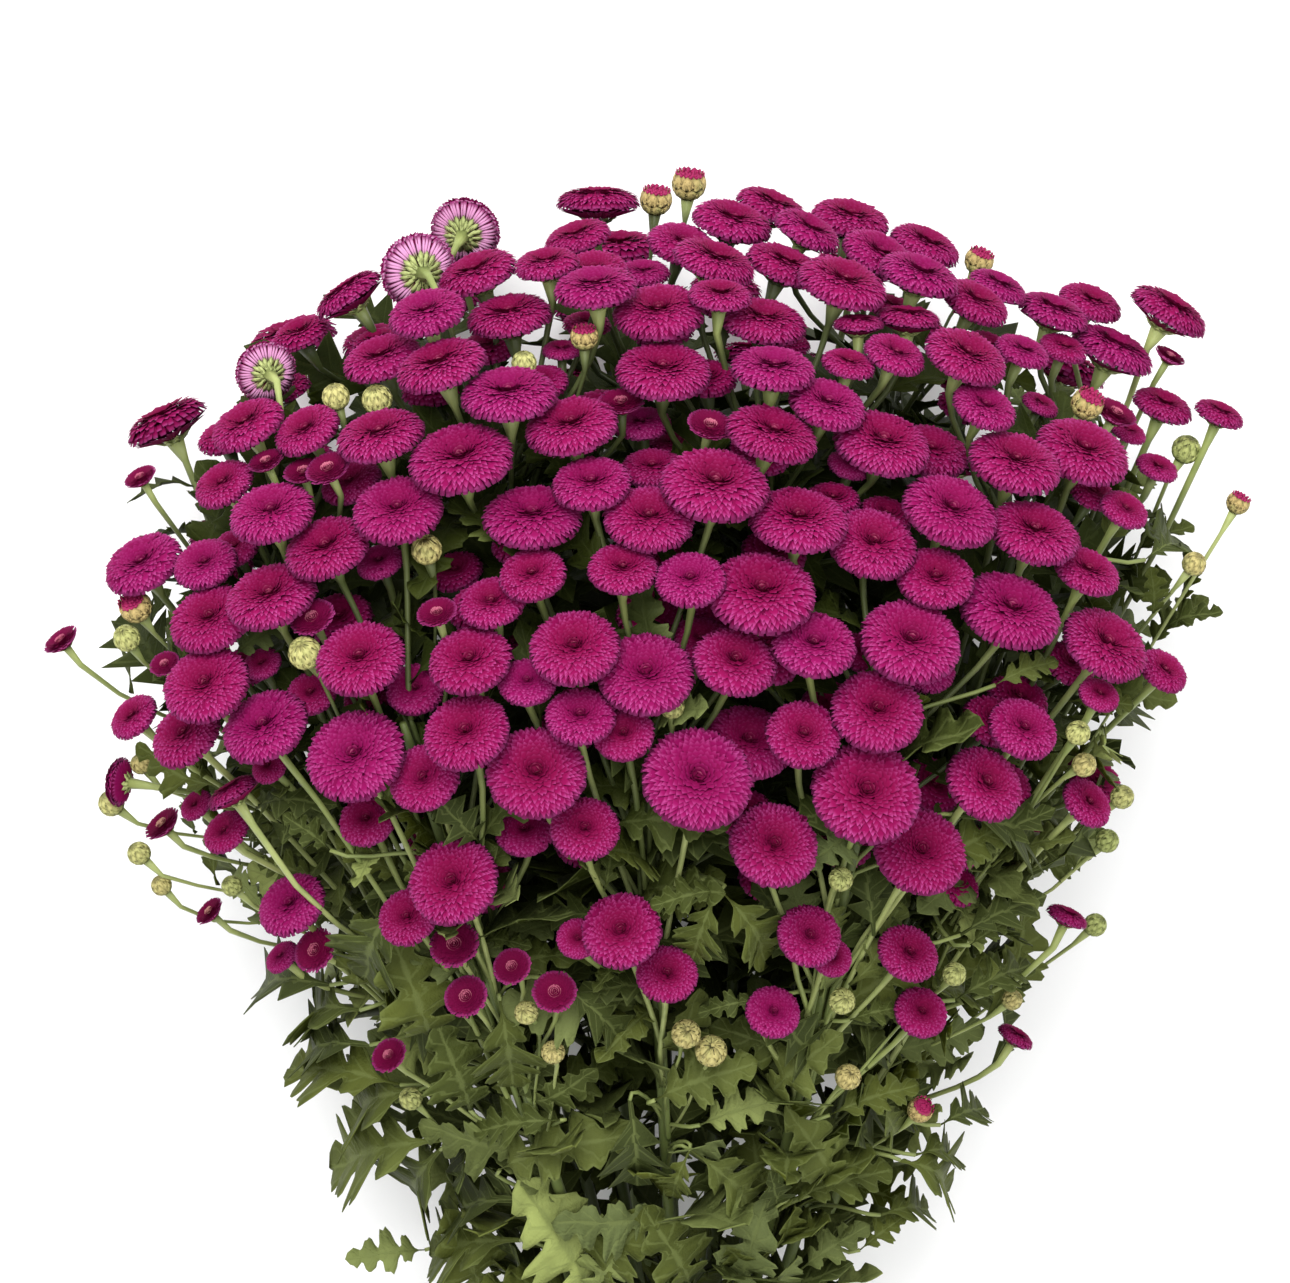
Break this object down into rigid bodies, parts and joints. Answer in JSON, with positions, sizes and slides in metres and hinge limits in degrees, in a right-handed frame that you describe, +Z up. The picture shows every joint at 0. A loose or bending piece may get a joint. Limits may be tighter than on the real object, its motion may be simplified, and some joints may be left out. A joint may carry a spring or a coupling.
{
  "type": "bunch of cut pompon chrysanthemums",
  "caption": "Cut bunch of magenta pompon spray chrysanthemums with leafy stems, held by one band and lying on its back.",
  "frame": {"origin": "centre of the bunch's box, on the surface that it lies on", "axes": "+Y along the bunch from the cut ends to the blooms, +Z up off the surface, +X across the bunch"},
  "size_m": [0.4286, 0.6758, 0.2869],
  "materials": {
    "petals": "matte magenta petals with lighter tips",
    "leaf_and_stem": "matte dark green leaf and stem",
    "band": "satin tan elastic"
  },
  "bodies": {
    "root": {"band": "band", "flowers_01_a": "petals", "flowers_01_b": "petals", "flowers_01_c": "petals", "flowers_02_a": "petals", "flowers_02_b": "petals", "flowers_02_c": "petals", "flowers_03_a": "petals", "flowers_03_b": "petals", "flowers_03_c": "petals", "flowers_04_a": "petals", "flowers_04_b": "petals", "flowers_04_c": "petals", "flowers_05_a": "petals", "flowers_05_b": "petals", "flowers_05_c": "petals", "flowers_06_a": "petals", "flowers_06_b": "petals", "flowers_06_c": "petals", "flowers_07_a": "petals", "flowers_07_b": "petals", "flowers_07_c": "petals", "flowers_08_a": "petals", "flowers_08_b": "petals", "flowers_08_c": "petals", "flowers_09_a": "petals", "flowers_09_b": "petals", "flowers_09_c": "petals", "flowers_10_a": "petals", "flowers_10_b": "petals", "flowers_10_c": "petals", "flowers_11_a": "petals", "flowers_11_b": "petals", "flowers_11_c": "petals", "flowers_12_a": "petals", "flowers_12_b": "petals", "flowers_12_c": "petals", "flowers_13_a": "petals", "flowers_13_b": "petals", "flowers_13_c": "petals", "flowers_14_a": "petals", "flowers_14_b": "petals", "flowers_14_c": "petals", "leafy_stem_01": "leaf_and_stem", "leafy_stem_02": "leaf_and_stem", "leafy_stem_03": "leaf_and_stem", "leafy_stem_04": "leaf_and_stem", "leafy_stem_05": "leaf_and_stem", "leafy_stem_06": "leaf_and_stem", "leafy_stem_07": "leaf_and_stem", "leafy_stem_08": "leaf_and_stem", "leafy_stem_09": "leaf_and_stem", "leafy_stem_10": "leaf_and_stem", "leafy_stem_11": "leaf_and_stem", "leafy_stem_12": "leaf_and_stem", "leafy_stem_13": "leaf_and_stem", "leafy_stem_14": "leaf_and_stem"}
  },
  "joints": []
}
